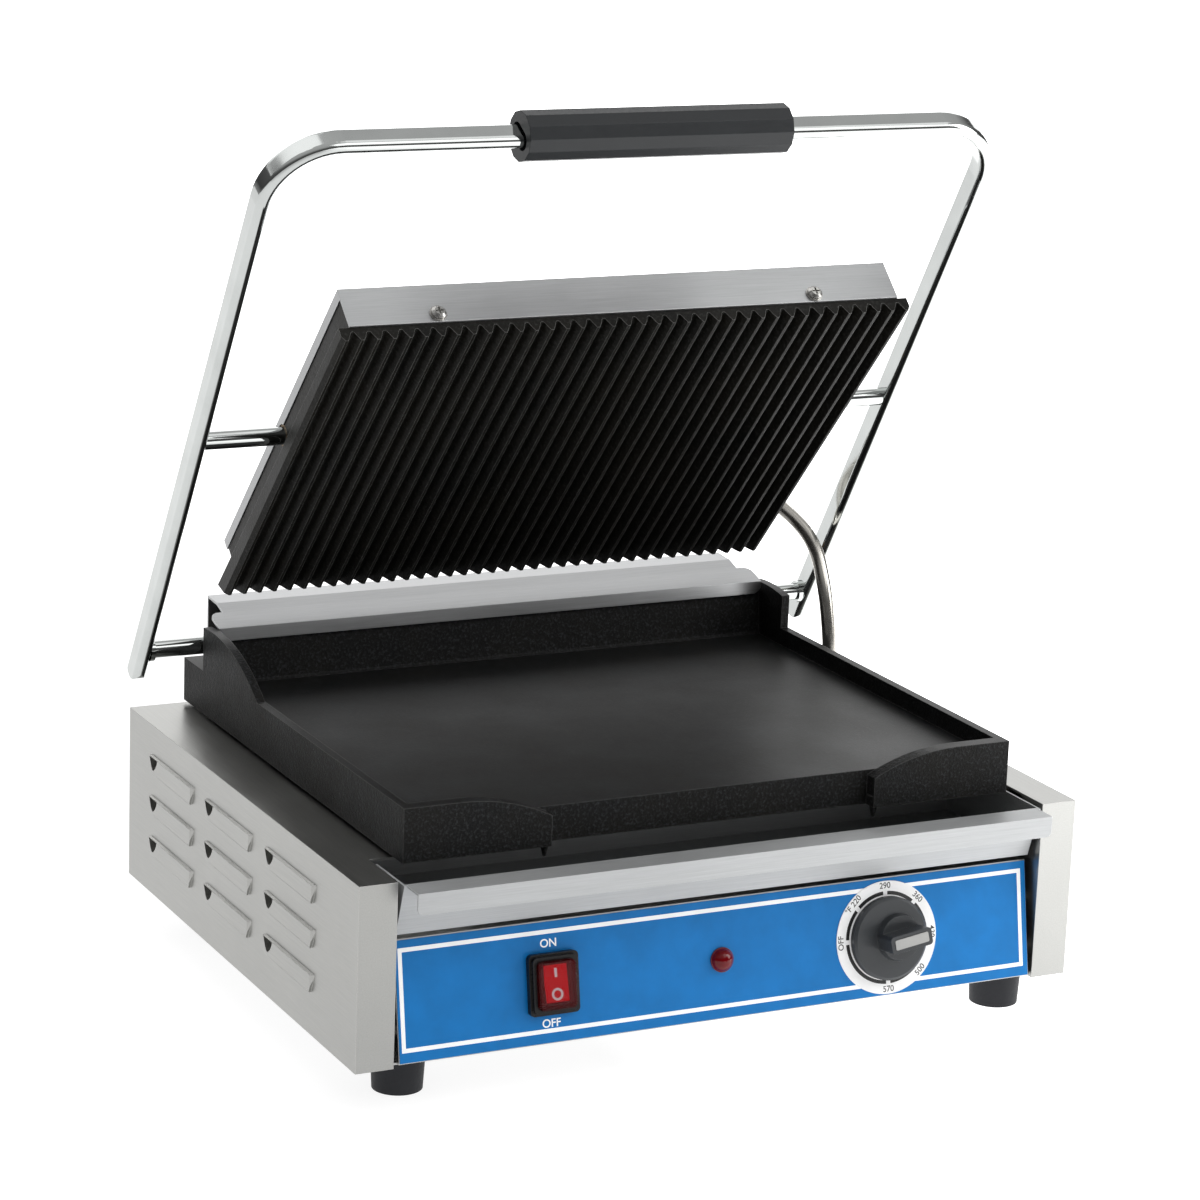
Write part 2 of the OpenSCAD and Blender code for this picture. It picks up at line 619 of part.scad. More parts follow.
module hinge_cover() color("silver") difference() {
    along_x(-cover_wide, cover_wide)
        polygon([for (p = concat(cover_outer, cover_inner)) [behind(p[0]), above(p[1])]]);
    both_sides() body_box([cover_narrow, plate_half], [cover_step, 340], [rear_block_z - eps, 165]);
    both_sides() difference() {
        body_box([cover_wide - cover_round, plate_half], [cover_step - cover_round, cover_step + eps],
            [140, 165]);
        at_body(cover_wide - cover_round, cover_step - cover_round, 138) cylinder(r = cover_round, h = 30);
    }
    both_sides() difference() {
        body_box([cover_wide - cover_round, plate_half], [290, 294.5], [140, 145 + cover_round]);
        at_body(cover_wide - cover_round, 288, 145 + cover_round) rotate([-90, 0, 0])
            cylinder(r = cover_round, h = 10);
    }
}

module hinge_axle() color("gainsboro") {
    at_body(-arm_x + bar_thick / 2, hinge_y, hinge_z) rotate([0, 90, 0])
        cylinder(r = axle_r, h = 2 * arm_x - bar_thick);
    both_sides() at_body(84, hinge_y, hinge_z) rotate([0, 90, 0]) cylinder(r = 8.5, h = 8);
    both_sides() at_body(arm_x - bar_thick / 2 - 2.5, hinge_y, hinge_z) rotate([0, 90, 0])
        cylinder(r = axle_r + 1.6, h = 2.5);
}

// A swept ring of wire sides around each point of a path
function ring(c, t, r, n) = let (
        w = t / norm(t),
        a = abs(w[0]) > 0.8 ? [0, 0, 1] : [1, 0, 0],
        p = cross(w, a) / norm(cross(w, a)),
        q = cross(w, p))
    [for (k = [0:n - 1]) c + r * (cos(360 * k / n) * p + sin(360 * k / n) * q)];

module swept(path, r, n) {
    m = len(path);
    tangents = [for (i = [0:m - 1]) path[min(i + 1, m - 1)] - path[max(i - 1, 0)]];
    points = [for (i = [0:m - 1]) each ring(path[i], tangents[i], r, n)];
    sides = [for (i = [0:m - 2], k = [0:n - 1])
        [i * n + k, i * n + (k + 1) % n, (i + 1) * n + (k + 1) % n, (i + 1) * n + k]];
    polyhedron(points, concat([[for (k = [n - 1:-1:0]) k]], sides,
        [[for (k = [0:n - 1]) (m - 1) * n + k]]), convexity = 10);
}

spring_r = 8.6;
spring_turns = 8;
spring_pitch = 3.4;
spring_steps = 16;
function spring_path() = [for (i = [0:spring_turns * spring_steps])
    let (a = -90 + 360 * i / spring_steps, x = 97 + spring_pitch * i / spring_steps)
    [x, behind(hinge_y) + spring_r * cos(a), above(hinge_z) + spring_r * sin(a)]];

module torsion_springs() color("darkgray") both_sides() swept(concat(
    placed([[93.6, hinge_y - 2, hinge_z - 7.2]]), spring_path(),
    placed([[125.5, 320, hinge_z - spring_r], [125.8, 330, hinge_z - spring_r]])), 1.2, 8);

// ---- Handle -----------------------------------------------------------------------------

module bar_section() translate([0, 0]) rounded(bar_thick, bar_depth, bar_thick / 2 - 0.01);

module arm() translate([arm_x, 0, 0]) {
    translate([0, -bar_reach + bend_r, 0]) rotate([-90, 0, 0]) linear_extrude(bar_reach - bend_r + 12)
        bar_section();
    intersection() {
        translate([0, 11, 0]) rotate([-90, 0, 0]) linear_extrude(9) bar_section();
        translate([-bar_thick, 12, 0]) rotate([0, 90, 0]) cylinder(r = bar_depth / 2, h = 2 * bar_thick);
    }
}

module handle_frame() color("gainsboro") on_handle() {
    both_sides() arm();
    both_sides() translate([arm_x - bend_r, -bar_reach + bend_r, 0]) rotate([0, 0, -90])
        rotate_extrude(angle = 90, $fn = 96) translate([bend_r, 0]) bar_section();
    translate([-arm_x + bend_r, -bar_reach, 0]) rotate([90, 0, 90]) linear_extrude(2 * (arm_x - bend_r))
        bar_section();
}

module grip() color("dimgray") on_handle() translate([0, -bar_reach, 0]) rotate([0, 90, 0]) difference() {
    linear_extrude(grip_len, center = true) difference() {
        circle(d = grip_d, $fn = 12);
        rounded(bar_depth, bar_thick, bar_thick / 2 - 0.01);
    }
    for (s = [-1, 1]) translate([0, 0, s * grip_len / 2]) linear_extrude(2 * grip_recess, center = true)
        rounded(bar_depth + 3, bar_thick + 3, bar_thick / 2 + 1.49);
}

module pivot_rods() color("gainsboro") on_handle() both_sides() {
    translate([rod_end, -pivot_reach, 0]) rotate([0, 90, 0])
        cylinder(r = axle_r, h = arm_x - bar_thick / 2 - rod_end);
    translate([rod_end + 0.9, -pivot_reach, 0]) rotate([0, 90, 0]) cylinder(r = axle_r + 1.8, h = 1.4);
}

// ---- Upper plate ------------------------------------------------------------------------

groove_count = floor((platen_w - 5) / rib_pitch);
groove_start = -(groove_count - 1) * rib_pitch / 2;
groove_side = rib_pitch / 2 - 0.8;
edge_bevel = 1.8;

// Half of a groove from its open side to its rounded bottom
groove_flank = [[groove_side, -eps], [groove_side, 0], [groove_side - 1.6, 0.5 * rib_depth],
    [1.1, 0.9 * rib_depth], [0.5, rib_depth]];
groove_profile = concat([for (p = groove_flank) [-p[0], p[1]]],
    [for (k = [len(groove_flank) - 1:-1:0]) groove_flank[k]]);
bevel_profile = [[-edge_bevel, -eps], [-edge_bevel, 0], [0, 1.5 * edge_bevel], [eps, 1.5 * edge_bevel],
    [eps, -eps]];

// The grooves, and the bevel along each side of the slab
module groove_outline() {
    for (i = [0:groove_count - 1]) translate([groove_start + i * rib_pitch, tip_z]) polygon(groove_profile);
    both_sides() translate([platen_w / 2, tip_z]) polygon(bevel_profile);
}

module slab_profile() polygon([[platen_front, tip_z], [platen_back, tip_z], [platen_foot, slab_back_z],
    [platen_front, slab_front_z]]);

module upper_plate() color("dimgray") on_platen() difference() {
    union() {
        along_x(-platen_w / 2, platen_w / 2) slab_profile();
        box([-pan_half, pan_half], [platen_front, pan_back], [slab_front_z, pan_z]);
        both_sides() box([boss_x, cover_half - sheet - 0.2], [-12, 12], [floor_z - 1, cover_z - sheet - 0.3]);
    }
    difference() {
        box([-pan_half + 10, pan_half - 10], [platen_front + 10, pan_back - 10], [floor_z, pan_z + eps]);
        both_sides() box([boss_x, pan_half], [-12, 12], [floor_z - 2, pan_z + 2]);
    }
    translate([0, platen_back + 20, 0]) rotate([90, 0, 0])
        linear_extrude(platen_back - platen_front + 40) groove_outline();
    both_sides() translate([140, 0, 0]) rotate([0, 90, 0]) cylinder(r = axle_r + 1, h = 40);
    for (s = [-1, 1]) translate([s * screw_x, platen_front - 1, screw_z]) rotate([-90, 0, 0])
        cylinder(r = 2, h = 9);
}

module pivot_bushes() color("goldenrod") on_platen() both_sides() translate([boss_x, 0, 0]) rotate([0, 90, 0])
    difference() {
        cylinder(r = axle_r + 1, h = pan_half - boss_x);
        translate([0, 0, -eps]) cylinder(r = axle_r + running, h = 40);
    }

module upper_element() color("darkgray") on_platen() {
    heating_loops(136, -92, 84, floor_z + tube_r);
    for (s = [-1, 1]) translate([s * leg_x, 69, floor_z + tube_r]) rotate([-90, 0, 0]) cylinder(r = 2, h = 8);
}

module upper_clamp() color("silver") on_platen()
    box([-140, 140], [-98, 94], [floor_z + 2 * tube_r, floor_z + 2 * tube_r + 1]);

module upper_insulation() color("white") on_platen() difference() {
    box([-142, 142], [-104, 96], [floor_z + 2 * tube_r + 1, cover_z - sheet]);
    translate([conduit_entry[0], conduit_entry[1], 0]) cylinder(r = 8.4, h = 20);
}

module upper_cover() color("silver") on_platen() difference() {
    union() {
        box([-cover_half, cover_half], [platen_front - sheet, cover_back], [cover_z - sheet, cover_z]);
        both_sides() box([cover_half - sheet, cover_half], [platen_front - sheet, cover_back],
            [lip_z, cover_z]);
        box([-cover_half, cover_half], [cover_back - sheet, cover_back], [lip_z, cover_z]);
        box([-cover_half, cover_half], [platen_front - sheet, platen_front], [-14.6, cover_z]);
    }
    for (s = [-1, 1]) translate([s * screw_x, platen_front - 3, screw_z]) rotate([-90, 0, 0])
        cylinder(r = 2, h = 5);
    translate([conduit_entry[0], conduit_entry[1], cover_z - 4]) cylinder(r = 5.2, h = 8);
    both_sides() translate([cover_half - 5, 0, 0]) rotate([0, 90, 0]) cylinder(r = axle_r + 1.3, h = 10);
}

module cover_screws() color("gainsboro") on_platen() for (s = [-1, 1])
    translate([s * screw_x, platen_front - sheet, screw_z]) rotate([90, 0, 0]) {
        cylinder(r = 4.8, h = 0.8);
        translate([0, 0, 0.8]) pan_screw(2, 4.1, 2.6, 9);
    }

// ---- Conduit between the housing and the upper plate ---------------------------------------

module conduit_sleeve(height) difference() {
    union() {
        translate([0, 0, -sheet - 3]) cylinder(r = 5.2, h = sheet + 3 + height);
        cylinder(r = 8, h = 4, $fn = 6);
        translate([0, 0, -sheet - 2.5]) cylinder(r = 7.4, h = 2.5, $fn = 6);
    }
    translate([0, 0, -10]) cylinder(r = 3.4, h = 40);
}

module deck_gland() color("darkgray") at_body(conduit_exit[0], conduit_exit[1], body_h) conduit_sleeve(9);
module cover_gland() color("darkgray") on_platen()
    translate([conduit_entry[0], conduit_entry[1], cover_z]) conduit_sleeve(9);

// Where a point of the upper plate's closed frame lies when the press stands open
function platen_point(p) = [p[0],
    behind(pivot_y) + p[1] * cos(platen_open) + p[2] * sin(platen_open),
    above(pivot_z) - p[1] * sin(platen_open) + p[2] * cos(platen_open)];

function placed(points) = [for (p = points) [p[0], behind(p[1]), above(p[2])]];
conduit_rise = placed([[195, 245, body_h + 9.5], [195, 245.5, 116], [195, 247.5, 128], [195, 250.5, 140],
    [195, 254, 151], [195, 259, 162], [195, 266, 173], [194, 276, 182.5], [191, 288, 190],
    [186, 300, 196.5], [178, 311, 203.5], [167.3, 318, 210.8]]);
conduit_drop = concat(placed([[166, 318.6, 211.8], [157, 321.5, 216.5], [147, 320.5, 220.5]]),
    [platen_point([conduit_entry[0], conduit_entry[1], cover_z + 16]),
    platen_point([conduit_entry[0], conduit_entry[1], cover_z + 9])]);

module conduit_lower() color("silver") swept(conduit_rise, conduit_r, 12);
module conduit_upper() color("silver") swept(conduit_drop, conduit_r, 12);

housing();
bottom_cover();
rear_panel();
control_panel();
panel_overlay();
dial_plate();
panel_screws();
rear_screws();
foot_front_left();
foot_front_right();
foot_rear_left();
foot_rear_right();
foot_screws();
foot_nuts();
tray_rails();
drip_tray();
lower_plate();
plate_studs();
plate_spacers();
lower_element();
lower_clamp();
lower_insulation();
lower_pan();
thermostat_body();
thermostat_shaft();
thermostat_bulb();
knob();
knob_insert();
switch_body();
switch_terminals();
switch_boot();
rocker();
lamp_body();
lamp_lens();
terminal_block();
wiring_loom();
cable_gland();
gland_nut();
earth_stud();
hinge_bracket_left();
hinge_bracket_right();
hinge_bushes();
bracket_screws();
hinge_cover();
hinge_axle();
torsion_springs();
handle_frame();
grip();
pivot_rods();
pivot_bushes();
upper_plate();
upper_element();
upper_clamp();
upper_insulation();
upper_cover();
cover_screws();
deck_gland();
cover_gland();
conduit_lower();
conduit_upper();
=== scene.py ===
"""Looks of the panini press: camera, studio, materials, print and the conduit as two smooth tubes."""
import math

import bmesh
import bpy
from mathutils import Matrix, Vector


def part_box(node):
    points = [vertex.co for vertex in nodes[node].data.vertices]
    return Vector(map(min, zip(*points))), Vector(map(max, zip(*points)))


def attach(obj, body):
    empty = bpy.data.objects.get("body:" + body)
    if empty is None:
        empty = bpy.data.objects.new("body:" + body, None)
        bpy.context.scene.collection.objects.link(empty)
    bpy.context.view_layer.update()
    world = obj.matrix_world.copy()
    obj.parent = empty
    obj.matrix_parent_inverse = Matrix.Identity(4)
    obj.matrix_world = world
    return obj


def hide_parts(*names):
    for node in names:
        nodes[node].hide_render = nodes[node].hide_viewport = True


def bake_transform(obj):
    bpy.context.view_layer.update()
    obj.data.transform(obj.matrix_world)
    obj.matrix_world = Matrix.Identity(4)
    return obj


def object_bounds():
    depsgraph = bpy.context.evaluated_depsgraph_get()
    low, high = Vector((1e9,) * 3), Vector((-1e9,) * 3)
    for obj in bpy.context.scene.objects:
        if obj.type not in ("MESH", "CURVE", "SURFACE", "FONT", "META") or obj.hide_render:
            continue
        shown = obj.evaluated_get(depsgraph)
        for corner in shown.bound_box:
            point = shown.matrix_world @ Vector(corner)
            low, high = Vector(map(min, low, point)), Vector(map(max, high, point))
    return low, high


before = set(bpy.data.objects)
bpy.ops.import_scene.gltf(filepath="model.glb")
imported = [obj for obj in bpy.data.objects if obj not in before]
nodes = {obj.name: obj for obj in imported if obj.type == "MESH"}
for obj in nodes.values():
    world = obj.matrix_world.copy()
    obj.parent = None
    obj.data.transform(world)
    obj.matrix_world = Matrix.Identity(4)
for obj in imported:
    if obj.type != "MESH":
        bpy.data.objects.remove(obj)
cad_low, cad_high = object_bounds()

MM = 0.001
WHITE = (1.0, 1.0, 1.0, 1.0)

# How wide corners are rounded and lit with a painted highlight, and the colours of that painted highlight on
# the iron
SHEET_EDGE = 0.5 * MM
CAST_EDGE = 0.9 * MM
RIB_EDGE = 0.45 * MM
IRON_EDGE_HIGHLIGHT = (0.1, 0.1, 0.098)
RIB_EDGE_HIGHLIGHT = (0.3, 0.3, 0.29)

# The shine of the cast skin, and the film of oil on faces that look up
SKIN_SHINE = 0.12
FACE_OIL = 0.22

# Cells of the noise of brushed lines per metre along each axis
LINES_ALONG_X = (30.0, 1500.0, 1500.0)
LINES_ALONG_Y = (1500.0, 30.0, 1500.0)


# ---- Material helpers ---------------------------------------------------------------------

# The colour sockets of a Mix node, which share their names with its other kinds
MIX_FACTOR = 0
MIX_FIRST = 6
MIX_SECOND = 7
MIX_RESULT = 2


class Look:
    """A Principled material with short ways to add nodes to it."""

    def __init__(self, name, color, roughness, metallic=0.0, **sockets):
        self.material = bpy.data.materials.new(name)
        self.material.use_nodes = True
        self.tree = self.material.node_tree
        self.shader = self.tree.nodes["Principled BSDF"]
        self.set("Base Color", (*color, 1.0))
        self.set("Roughness", roughness)
        self.set("Metallic", metallic)
        for socket, value in sockets.items():
            self.set(socket.replace("_", " "), value)
        self.coordinates = self.tree.nodes.new("ShaderNodeTexCoord").outputs["Object"]
        self.geometry = self.tree.nodes.new("ShaderNodeNewGeometry")

    def set(self, socket, value):
        self.shader.inputs[socket].default_value = value

    def link(self, source, socket):
        self.tree.links.new(source, self.shader.inputs[socket])

    def tint(self, factor, first, second):
        self.link(self.mixed(factor, first, second), "Base Color")

    def feed(self, node, socket, value):
        """Give an input another node's output, or a constant."""
        if isinstance(value, bpy.types.NodeSocket):
            self.tree.links.new(value, node.inputs[socket])
        else:
            node.inputs[socket].default_value = value

    def add(self, kind, inputs=(), **settings):
        node = self.tree.nodes.new(kind)
        for name, value in settings.items():
            setattr(node, name, value)
        for socket, value in dict(inputs).items():
            self.feed(node, socket, value)
        return node

    def noise(self, scale, detail=3.0, roughness=0.55, stretch=(1.0, 1.0, 1.0)):
        """Noise whose cells are 1 / scale metres across, squeezed along each axis by stretch."""
        mapping = self.add("ShaderNodeMapping", {"Vector": self.coordinates, "Scale": stretch})
        return self.add("ShaderNodeTexNoise", {"Vector": mapping.outputs["Vector"], "Scale": scale,
                                               "Detail": detail, "Roughness": roughness}).outputs["Fac"]

    def ranged(self, value, low, high, start=0.3, end=0.7):
        """Low at start and high at end. The middle of a noise runs from 0.3 to 0.7."""
        return self.add("ShaderNodeMapRange", {"Value": value, "From Min": start, "From Max": end,
                                               "To Min": low, "To Max": high}).outputs["Result"]

    def mixed(self, factor, first, second):
        """A colour between first and second."""
        mix = self.add("ShaderNodeMix", data_type="RGBA")
        self.feed(mix, MIX_FACTOR, factor)
        for socket, value in ((MIX_FIRST, first), (MIX_SECOND, second)):
            self.feed(mix, socket, (*value, 1.0) if isinstance(value, tuple) else value)
        return mix.outputs[MIX_RESULT]

    def math(self, operation, first, second):
        return self.add("ShaderNodeMath", {0: first, 1: second}, operation=operation).outputs[0]

    def edge_mask(self, radius):
        """1 on corners that a rounding of that radius in metres would reach, and 0 elsewhere."""
        rounded = self.add("ShaderNodeBevel", {"Radius": radius}, samples=6).outputs["Normal"]
        agreement = self.add("ShaderNodeVectorMath", {0: rounded, 1: self.geometry.outputs["True Normal"]},
                             operation="DOT_PRODUCT").outputs["Value"]
        return self.ranged(agreement, 1.0, 0.0, 0.76, 0.97)

    def bump(self, height, distance, strength=1.0, edge=0.0):
        """Raised texture, over corners that are softened by the edge radius in metres."""
        inputs = {"Height": height, "Distance": distance, "Strength": strength}
        if edge:
            inputs["Normal"] = self.add("ShaderNodeBevel", {"Radius": edge}, samples=4).outputs["Normal"]
        return self.add("ShaderNodeBump", inputs).outputs["Normal"]


def scaled(color, factor):
    return tuple(min(1.0, c * factor) for c in color)


def brushed_steel(name, color, roughness, grain, depth=0.03 * MM, metallic=1.0):
    """Sheet with fine lines, depth metres deep, along the axis whose grain is small."""
    look = Look(name, color, roughness, metallic)
    lines = look.noise(1.0, detail=5.0, roughness=0.7, stretch=grain)
    cloud = look.noise(9.0, detail=5.0, roughness=0.6)
    wear = look.math("MULTIPLY", look.ranged(lines, 0.88, 1.1), look.ranged(cloud, 0.92, 1.05))
    sheet = look.mixed(look.ranged(wear, 0.0, 1.0, 0.82, 1.12), scaled(color, 0.82), scaled(color, 1.08))
    # Corners are tinted lighter here as a painted highlight
    painted_edge_highlight = scaled(color, 1.45)
    look.tint(look.edge_mask(SHEET_EDGE), sheet, painted_edge_highlight)
    look.link(look.math("MULTIPLY", wear, roughness), "Roughness")
    look.link(look.bump(lines, depth, 0.7, edge=SHEET_EDGE), "Normal")
    return look.material


def polished_steel(name, color, roughness):
    look = Look(name, color, roughness, metallic=1.0)
    smear = look.noise(45.0, detail=5.0)
    scuffs = look.noise(900.0, detail=2.0, stretch=(1.0, 0.2, 0.2))
    look.link(look.math("MULTIPLY", look.ranged(smear, 0.7, 1.5), roughness), "Roughness")
    look.tint(look.ranged(smear, 0.0, 1.0), color, scaled(color, 0.9))
    look.link(look.bump(scuffs, 0.01 * MM, 0.4), "Normal")
    return look.material


def cast_iron(name, color, roughness, pits, skin_roughness, edge, edge_highlight_color):
    """Blacked iron: machined where it faces the food, and a pitted sand-cast skin elsewhere.

    The pits are how deep the skin is and the edge how wide corners are rounded and given a painted highlight,
    in metres; the last argument is the colour of that painted highlight.
    """
    look = Look(name, color, roughness, Specular_IOR_Level=SKIN_SHINE, Coat_Roughness=0.42)
    skin = look.noise(620.0, detail=4.0, roughness=0.65)
    patches = look.noise(26.0, detail=5.0, roughness=0.6)
    turned = look.noise(1.0, detail=4.0, roughness=0.6, stretch=(2200.0, 60.0, 400.0))
    up = look.add("ShaderNodeSeparateXYZ", {"Vector": look.geometry.outputs["True Normal"]}).outputs["Z"]
    level = look.ranged(up, 0.0, 1.0, 0.97, 0.995)
    look.link(look.ranged(level, 0.0, FACE_OIL, 0.0, 1.0), "Coat Weight")
    brown = (color[0] * 1.7, color[1] * 1.5, color[2] * 1.25)
    shade = look.mixed(look.ranged(patches, 0.0, 1.0), color, brown)
    grained = look.mixed(look.ranged(skin, 0.0, 1.0, 0.5, 0.72), shade, scaled(color, 5.0))
    # Corners are tinted lighter here as a painted highlight
    look.tint(look.edge_mask(edge), grained, edge_highlight_color)
    finish = look.ranged(level, skin_roughness, roughness, 0.0, 1.0)
    rough = look.math("MULTIPLY", look.ranged(skin, 0.85, 1.15), finish)
    look.link(look.math("MULTIPLY", rough, look.ranged(patches, 0.9, 1.12)), "Roughness")
    relief = look.math("MULTIPLY", skin, look.ranged(level, 1.0, 0.12, 0.0, 1.0))
    height = look.math("ADD", relief, look.math("MULTIPLY", turned, 0.1))
    look.link(look.bump(height, pits, 1.0, edge=edge), "Normal")
    return look.material


def plain(name, color, roughness, grain=700.0, depth=0.03 * MM, metallic=0.0, edge=0.0, **sockets):
    """Moulded, printed or plated surface with a fine tooth and faint colour changes."""
    look = Look(name, color, roughness, metallic, **sockets)
    tooth = look.noise(grain, detail=3.0)
    cloud = look.noise(60.0, detail=3.0)
    look.tint(look.ranged(cloud, 0.0, 1.0), color, scaled(color, 0.86))
    look.link(look.math("MULTIPLY", look.ranged(tooth, 0.85, 1.15), roughness), "Roughness")
    look.link(look.bump(tooth, depth, 0.7, edge=edge), "Normal")
    return look.material


materials = {
    "housing": brushed_steel("housing_sheet", (0.42, 0.42, 0.405), 0.34, LINES_ALONG_Y),
    "panel": brushed_steel("panel_sheet", (0.52, 0.52, 0.51), 0.3, LINES_ALONG_X),
    "tray": brushed_steel("tray_sheet", (0.5, 0.51, 0.515), 0.5, LINES_ALONG_X, 0.01 * MM, 0.6),
    "cover": brushed_steel("cover_sheet", (0.46, 0.465, 0.47), 0.4, LINES_ALONG_X, 0.012 * MM),
    "chrome": polished_steel("polished_bar", (0.6, 0.62, 0.61), 0.07),
    "conduit": polished_steel("conduit_steel", (0.52, 0.5, 0.46), 0.22),
    "iron": cast_iron("lower_iron", (0.008, 0.0085, 0.009), 0.42, 0.7 * MM, 0.5, CAST_EDGE,
                      IRON_EDGE_HIGHLIGHT),
    "ribbed_iron": cast_iron("ribbed_iron", (0.006, 0.006, 0.0055), 0.4, 0.2 * MM, 0.36, RIB_EDGE,
                             RIB_EDGE_HIGHLIGHT),
    "rubber": plain("foot_rubber", (0.026, 0.027, 0.031), 0.55, Specular_IOR_Level=0.2),
    "grip": plain("grip_rubber", (0.014, 0.016, 0.018), 0.38, edge=0.6 * MM, Specular_IOR_Level=0.35),
    "zinc": plain("zinc_plate", (0.5, 0.49, 0.47), 0.25, metallic=1.0, edge=0.2 * MM),
    "brass": plain("brass", (0.7, 0.5, 0.22), 0.3, metallic=1.0),
    "blue": plain("blue_film", (0.005, 0.2, 0.57), 0.38, grain=1500.0, depth=0.01 * MM,
                  Specular_IOR_Level=0.25),
    # The white film and white print glow a little though they are no lamps: painted light that keeps them
    # bright white
    "white_film_painted_glow": plain("white_film_painted_glow", (0.84, 0.84, 0.84), 0.4, Emission_Color=WHITE,
                        Emission_Strength=0.2),
    "black_print": plain("black_print", (0.015, 0.015, 0.015), 0.4),
    "white_print_painted_glow": plain("white_print_painted_glow", (0.9, 0.9, 0.9), 0.4, Emission_Color=WHITE,
                         Emission_Strength=0.25),
    "knob": plain("knob_plastic", (0.04, 0.044, 0.048), 0.36, grain=1400.0, depth=0.08 * MM, edge=0.4 * MM),
    "insert": plain("insert_foil", (0.42, 0.42, 0.41), 0.35, metallic=1.0),
    "bezel": plain("switch_plastic", (0.008, 0.008, 0.009), 0.3, edge=0.5 * MM, Specular_IOR_Level=0.3),
    "bezel_well": plain("rocker_flank", (0.09, 0.002, 0.004), 0.25),
    "boot": plain("boot_clear", (0.1, 0.003, 0.004), 0.1, depth=0.005 * MM, edge=0.5 * MM, Alpha=0.38,
                  Specular_IOR_Level=0.2),
    "rocker": plain("rocker_red", (0.75, 0.003, 0.008), 0.25, Emission_Color=(1.0, 0.0, 0.01, 1.0),
                    Emission_Strength=0.5),
    "rocker_print": plain("rocker_print", (0.9, 0.9, 0.9), 0.4, Emission_Color=(1.0, 0.95, 0.95, 1.0),
                          Emission_Strength=0.6),
    "lens": plain("lens_red", (0.16, 0.0, 0.003), 0.06, depth=0.005 * MM, Specular_IOR_Level=0.35),
    "pale": plain("pale_plastic", (0.62, 0.58, 0.47), 0.5),
    "wire": plain("wire_sleeve", (0.35, 0.06, 0.04), 0.7, grain=2500.0),
    "element": plain("element_sheath", (0.16, 0.15, 0.14), 0.45, metallic=1.0),
    "wool": plain("mineral_wool", (0.7, 0.67, 0.58), 0.9, grain=900.0, depth=0.4 * MM),
    "pan": brushed_steel("pan_steel", (0.5, 0.5, 0.5), 0.42, (800.0, 60.0, 800.0)),
    "copper": plain("copper", (0.65, 0.33, 0.2), 0.3, metallic=1.0),
    "gland": plain("gland_plastic", (0.03, 0.03, 0.03), 0.5),
    "spring": plain("spring_steel", (0.2, 0.2, 0.2), 0.35, metallic=1.0),
    "bronze": plain("bronze", (0.2, 0.14, 0.08), 0.4, metallic=1.0),
}

NODE_LOOKS = {
    "housing": ["housing", "rear_panel"],
    "panel": ["control_panel"],
    "tray": ["drip_tray"],
    "cover": ["hinge_cover", "upper_cover"],
    "chrome": ["handle_frame", "hinge_axle", "pivot_rods"],
    "conduit": ["conduit_lower", "conduit_upper"],
    "iron": ["lower_plate", "hinge_bracket_left", "hinge_bracket_right"],
    "ribbed_iron": ["upper_plate"],
    "rubber": ["foot_front_left", "foot_front_right", "foot_rear_left", "foot_rear_right"],
    "grip": ["grip"],
    "zinc": ["panel_screws", "rear_screws", "foot_screws", "foot_nuts", "plate_studs", "plate_spacers",
             "thermostat_shaft", "bracket_screws", "cover_screws", "deck_gland", "cover_gland"],
    "brass": ["switch_terminals", "earth_stud"],
    "blue": ["panel_overlay"],
    "white_film_painted_glow": ["dial_plate"],
    "knob": ["knob"],
    "insert": ["knob_insert"],
    "bezel": ["switch_body"],
    "boot": ["switch_boot"],
    "bezel_well": ["rocker"],
    "lens": ["lamp_lens"],
    "pale": ["lamp_body", "terminal_block", "thermostat_body"],
    "wire": ["wiring_loom"],
    "element": ["lower_element", "upper_element"],
    "wool": ["lower_insulation", "upper_insulation"],
    "pan": ["bottom_cover", "tray_rails", "lower_clamp", "lower_pan", "upper_clamp"],
    "copper": ["thermostat_bulb"],
    "gland": ["cable_gland", "gland_nut"],
    "spring": ["torsion_springs"],
    "bronze": ["hinge_bushes", "pivot_bushes"],
}


def paint(piece, look):
    piece.data.materials.clear()
    piece.data.materials.append(materials[look])


for look, names in NODE_LOOKS.items():
    for name in names:
        paint(nodes[name], look)


# ---- New pieces --------------------------------------------------------------------------

def piece(name, mesh, look, matrix=None, smooth=False):
    obj = bpy.data.objects.new(name, mesh)
    bpy.context.scene.collection.objects.link(obj)
    if matrix is not None:
        obj.data.transform(matrix)
    # Only the sides of a tube are smooth, and its end caps have more than four corners
    for face in obj.data.polygons:
        face.use_smooth = smooth and len(face.vertices) == 4
    paint(obj, look)
    return obj


def solid(outlines, thickness):
    """A mesh of flat outlines, each a list of (x, y) corners, raised from z 0 to thickness."""
    shape = bmesh.new()
    for outline in outlines:
        face = shape.faces.new([shape.verts.new((x, y, 0.0)) for x, y in outline])
        raised = bmesh.ops.extrude_face_region(shape, geom=[face])
        corners = [v for v in raised["geom"] if isinstance(v, bmesh.types.BMVert)]
        bmesh.ops.translate(shape, verts=corners, vec=(0.0, 0.0, thickness))
    bmesh.ops.recalc_face_normals(shape, faces=shape.faces)
    mesh = bpy.data.meshes.new("outline")
    shape.to_mesh(mesh)
    shape.free()
    return mesh


def bar(x0, x1, y0, y1):
    return [(x0, y0), (x1, y0), (x1, y1), (x0, y1)]


def arc_band(inner, outer, start, end, steps=24):
    """A part of a ring, between two angles in degrees."""
    angles = [math.radians(start + (end - start) * i / steps) for i in range(steps + 1)]
    rim = [(outer * math.cos(a), outer * math.sin(a)) for a in angles]
    return rim + [(inner * math.cos(a), inner * math.sin(a)) for a in reversed(angles)]


